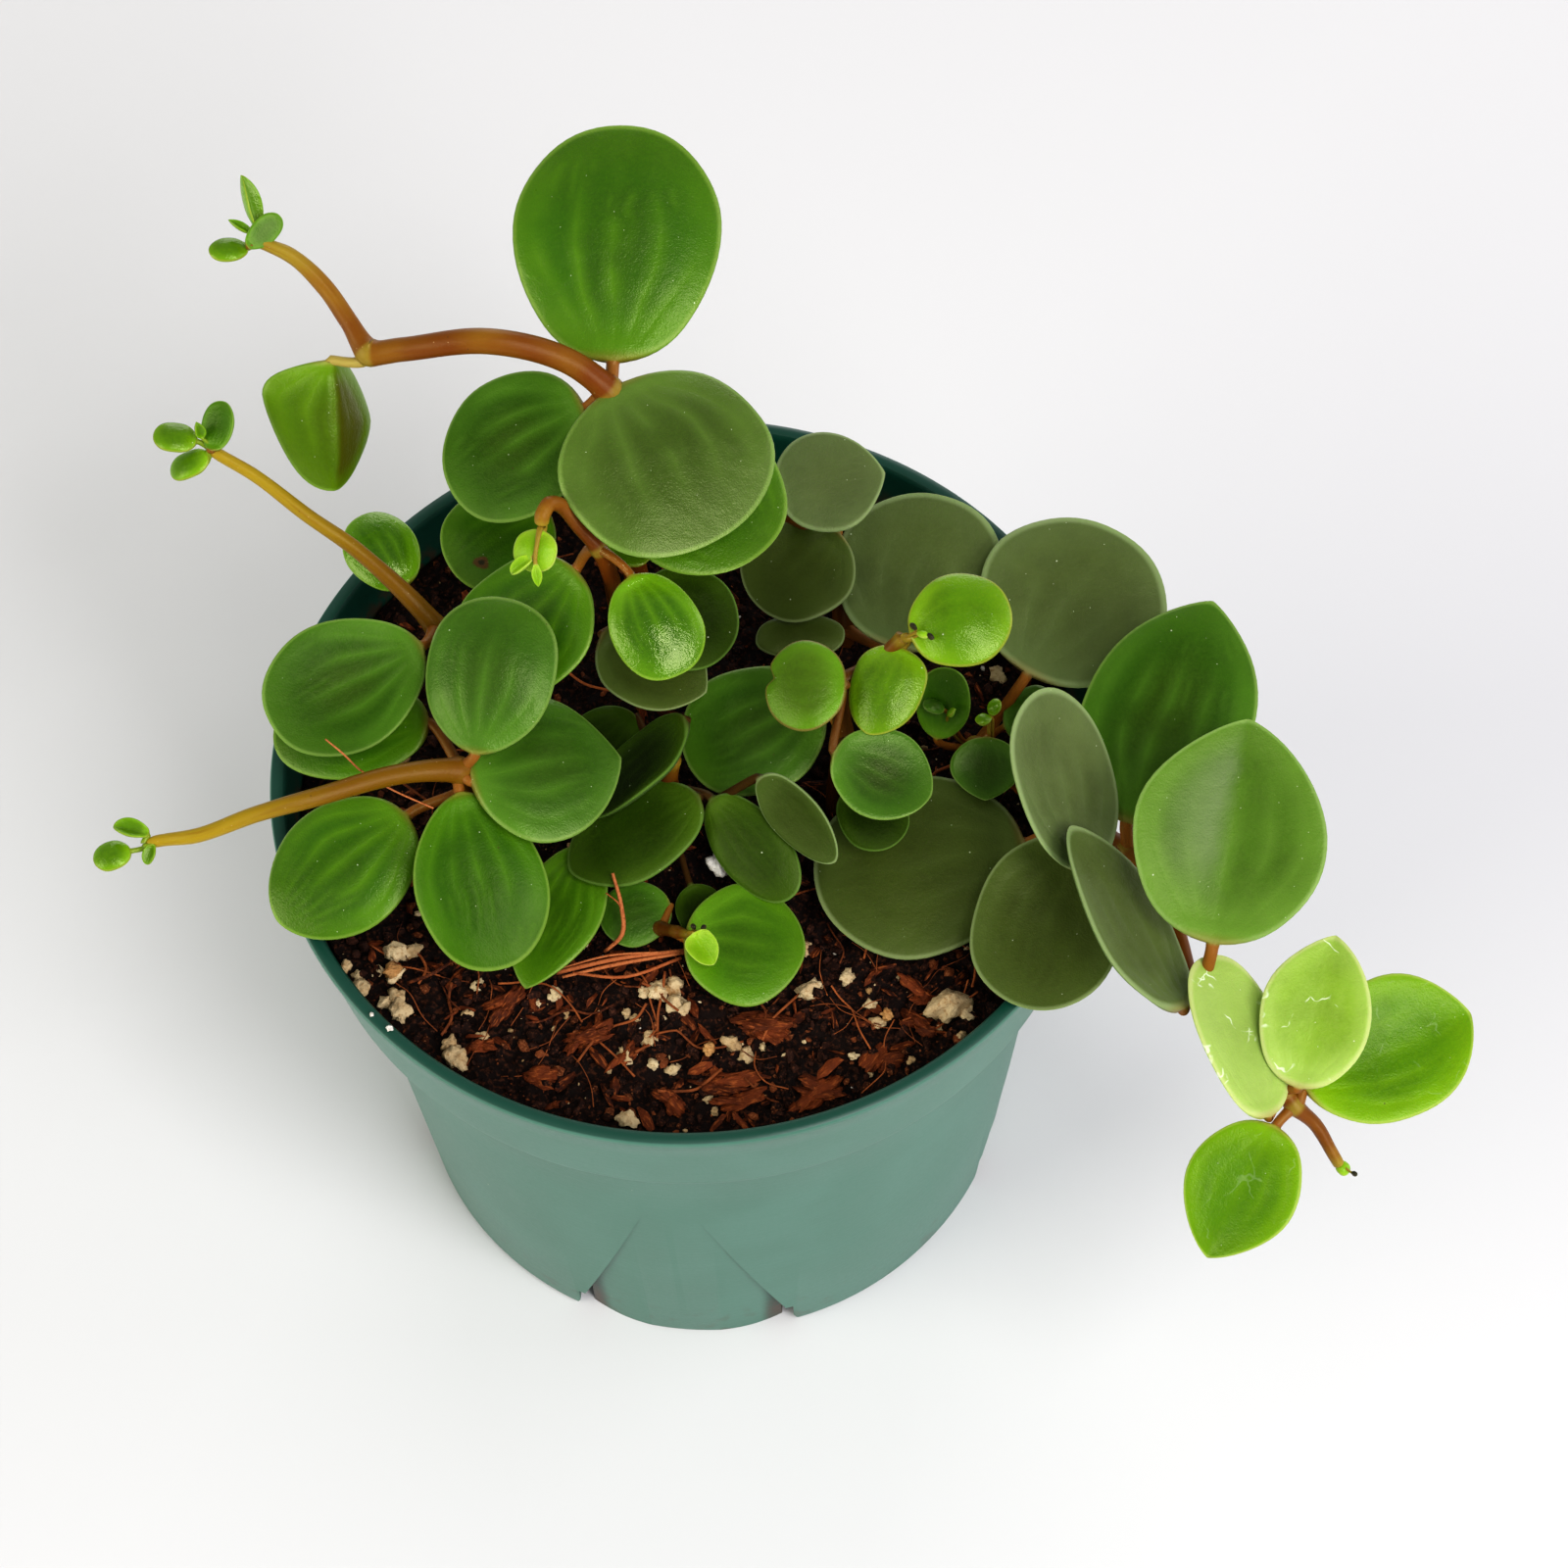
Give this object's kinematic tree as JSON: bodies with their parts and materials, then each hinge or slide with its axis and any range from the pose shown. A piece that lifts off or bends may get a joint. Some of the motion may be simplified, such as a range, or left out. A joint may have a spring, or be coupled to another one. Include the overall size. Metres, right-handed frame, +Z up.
{
  "type": "potted trailing peperomia",
  "caption": "Small potted trailing plant: round fleshy leaves on arching red-brown stems over dark soil, with one shoot hanging over the rim of a tapered plastic pot.",
  "frame": {"origin": "middle of the pot's flat underside", "axes": "+Z up out of the pot, +X to the side over which the trailing shoot leans, +Y to the back"},
  "size_m": [0.1659, 0.13, 0.1344],
  "materials": {
    "pot_plastic": "satin moulded, teal green",
    "potting_soil": "rough, crumbly, near-black brown with pale grit",
    "stem": "smooth, semi-gloss, red-brown",
    "mature_leaf": "waxy, semi-gloss, deep green",
    "olive_leaf": "waxy, satin, olive green",
    "young_leaf": "glossy, yellow-green",
    "pale_leaf": "satin, pale lime green"
  },
  "bodies": {
    "root": {"pot": "pot_plastic", "soil": "potting_soil", "upper_stem": "stem", "side_stem": "stem", "crown_stem": "stem", "left_stem": "stem", "middle_stem": "stem", "front_stem": "stem", "right_stem": "stem", "back_stem": "stem", "trailing_stem": "stem", "upper_leaf_1": "mature_leaf", "upper_leaf_2": "mature_leaf", "upper_leaf_3": "mature_leaf", "upper_leaf_4": "mature_leaf", "upper_leaf_5": "mature_leaf", "side_leaf_1": "young_leaf", "side_leaf_2": "mature_leaf", "side_leaf_3": "mature_leaf", "crown_leaf_1": "young_leaf", "crown_leaf_2": "mature_leaf", "crown_leaf_3": "mature_leaf", "crown_leaf_4": "mature_leaf", "left_leaf_1": "mature_leaf", "left_leaf_2": "mature_leaf", "left_leaf_3": "mature_leaf", "left_leaf_4": "mature_leaf", "left_leaf_5": "mature_leaf", "middle_leaf_1": "mature_leaf", "middle_leaf_2": "mature_leaf", "middle_leaf_3": "mature_leaf", "middle_leaf_4": "mature_leaf", "middle_leaf_5": "mature_leaf", "front_leaf_1": "mature_leaf", "front_leaf_2": "mature_leaf", "front_leaf_3": "mature_leaf", "right_leaf_1": "young_leaf", "right_leaf_2": "young_leaf", "right_leaf_3": "young_leaf", "right_leaf_4": "mature_leaf", "right_leaf_5": "mature_leaf", "right_leaf_6": "mature_leaf", "back_leaf_1": "olive_leaf", "back_leaf_2": "olive_leaf", "back_leaf_3": "olive_leaf", "back_leaf_4": "olive_leaf", "trailing_leaf_1": "olive_leaf", "trailing_leaf_2": "olive_leaf", "trailing_leaf_3": "olive_leaf", "trailing_leaf_4": "olive_leaf", "trailing_leaf_5": "olive_leaf", "trailing_leaf_6": "olive_leaf", "trailing_leaf_7": "olive_leaf", "trailing_leaf_8": "olive_leaf", "trailing_leaf_9": "olive_leaf", "trailing_leaf_10": "olive_leaf", "trailing_leaf_11": "pale_leaf", "trailing_leaf_12": "pale_leaf", "trailing_leaf_13": "pale_leaf", "trailing_leaf_14": "pale_leaf"}
  },
  "joints": []
}
